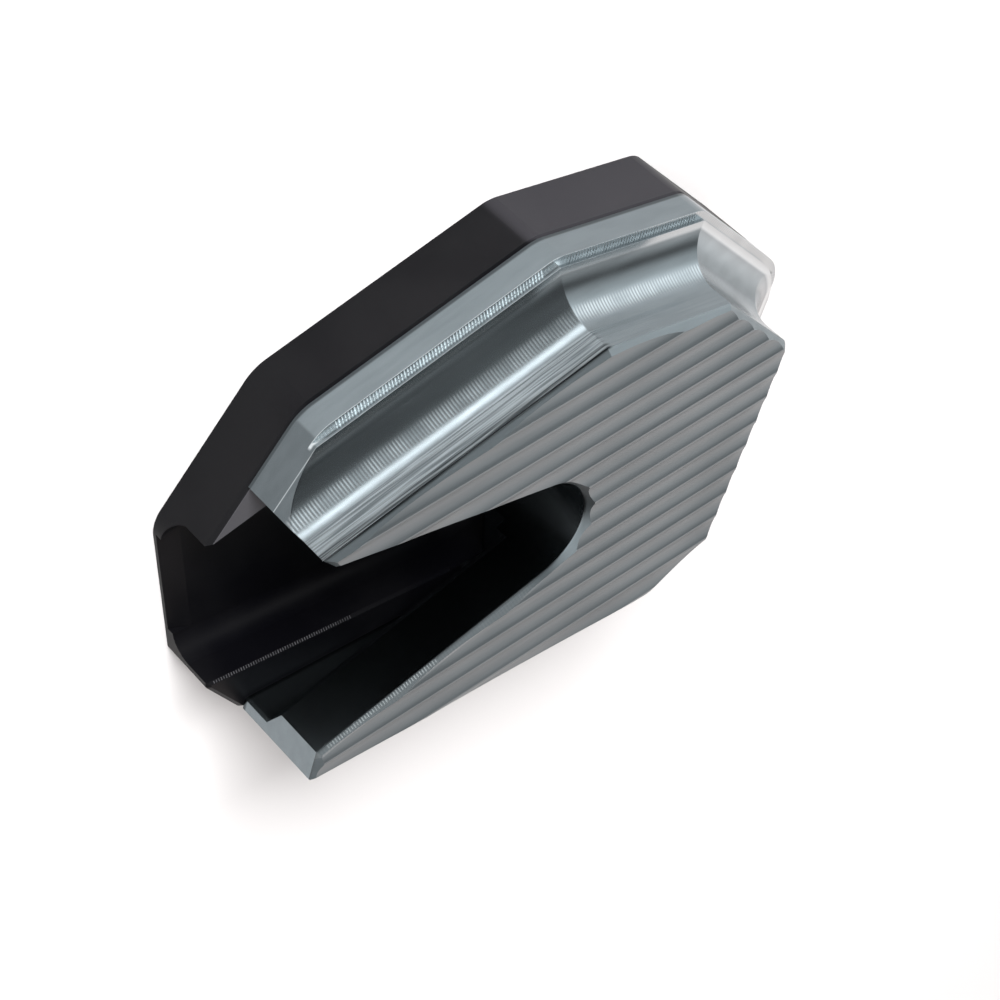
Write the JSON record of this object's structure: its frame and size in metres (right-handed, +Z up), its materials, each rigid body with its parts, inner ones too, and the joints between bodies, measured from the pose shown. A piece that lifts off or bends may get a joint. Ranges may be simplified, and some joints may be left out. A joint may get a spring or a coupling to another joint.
{
  "type": "motorcycle side-stand foot enlarger",
  "caption": "Two-part machined aluminium plate that widens a side stand's foot, with a pocket for the foot, a slot for the leg, a fluted top and coved flanks.",
  "frame": {"origin": "centre of the bounding box's base, on the ground under the tread", "axes": "+Z up from the ground to the fluted top face, -X towards the open mouth where the stand's foot goes in, +Y towards the long coved flank"},
  "size_m": [0.0848, 0.0572, 0.0226],
  "materials": {
    "base_plate": "black satin anodised over a fine milled surface",
    "top_plate": "titanium-grey satin anodised over a fine milled surface",
    "clamp_screws": "plain stainless steel"
  },
  "bodies": {
    "root": {"base_plate": "base_plate", "top_plate": "top_plate", "clamp_screws": "clamp_screws"}
  },
  "joints": []
}
